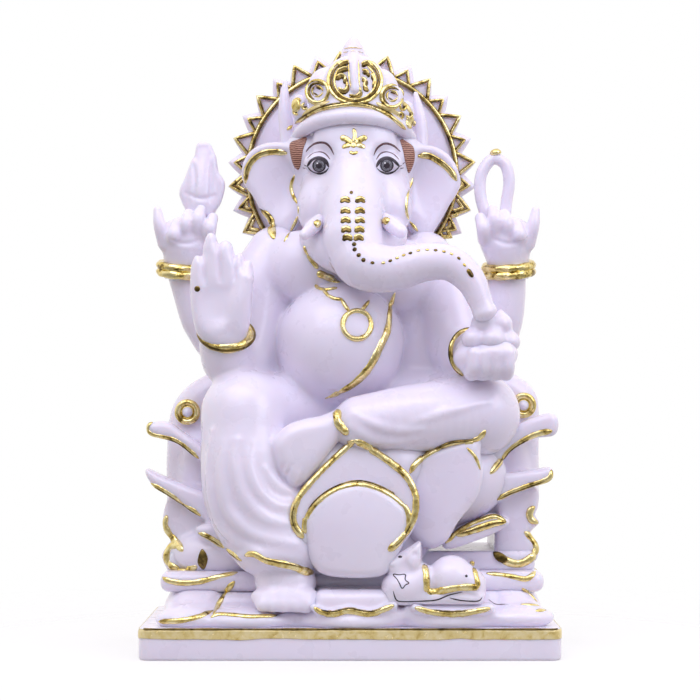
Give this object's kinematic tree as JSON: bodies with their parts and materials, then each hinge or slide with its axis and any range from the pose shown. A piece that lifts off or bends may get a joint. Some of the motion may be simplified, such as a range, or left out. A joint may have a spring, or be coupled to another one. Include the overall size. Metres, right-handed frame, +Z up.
{
  "type": "ganesha idol",
  "caption": "Small seated Ganesha figure of white cast marble with gilded edges, on a lotus throne and a flat plinth, with a mouse at its foot and a rayed halo behind the head.",
  "frame": {"origin": "centre of the plinth's flat underside", "axes": "+Z up, -Y the way the figure faces, +X to the figure's own left"},
  "size_m": [0.1588, 0.09, 0.236],
  "materials": {
    "white_marble": "polished cast marble, slightly translucent, with gilded edges on many pieces",
    "gold_leaf": "bright gold leaf laid over the same cast marble"
  },
  "bodies": {
    "root": {"plinth": "white_marble", "ground_petals": "white_marble", "throne_cushion": "white_marble", "throne_slab": "white_marble", "throne_body": "white_marble", "throne_leg_right": "white_marble", "throne_leg_left": "white_marble", "rosette_right": "gold_leaf", "rosette_left": "gold_leaf", "necklace": "gold_leaf", "pendant": "gold_leaf", "sacred_thread": "gold_leaf", "waist_cord": "gold_leaf", "bangle_rear_right": "gold_leaf", "bangle_rear_left": "gold_leaf", "bangle_front_right": "gold_leaf", "bangle_front_left": "gold_leaf", "halo_disc": "white_marble", "halo_rays": "white_marble", "crown_cap": "white_marble", "crown_band": "white_marble", "crown_front": "white_marble", "crown_horn_right": "white_marble", "crown_horn_left": "white_marble", "head": "white_marble", "trunk": "white_marble", "right_ear": "white_marble", "left_ear": "white_marble", "right_tusk": "white_marble", "left_tusk": "white_marble", "goad_bud": "white_marble", "noose": "white_marble", "sweets": "white_marble", "front_right_hand": "white_marble", "front_left_hand": "white_marble", "rear_right_hand": "white_marble", "rear_left_hand": "white_marble", "mouse": "white_marble", "mouse_saddle": "white_marble", "belly": "white_marble", "torso": "white_marble", "rear_right_arm": "white_marble", "rear_left_arm": "white_marble", "front_right_arm": "white_marble", "front_left_arm": "white_marble", "right_leg": "white_marble", "right_foot": "white_marble", "left_leg": "white_marble", "left_foot": "white_marble", "lotus_core": "white_marble", "petal_front_outer": "white_marble", "petal_front_inner": "white_marble", "petal_front_left": "white_marble", "petal_right_upper": "white_marble", "petal_right_middle": "white_marble", "petal_right_lower": "white_marble", "petal_left_upper": "white_marble", "petal_left_middle": "white_marble", "petal_left_lower": "white_marble"}
  },
  "joints": []
}
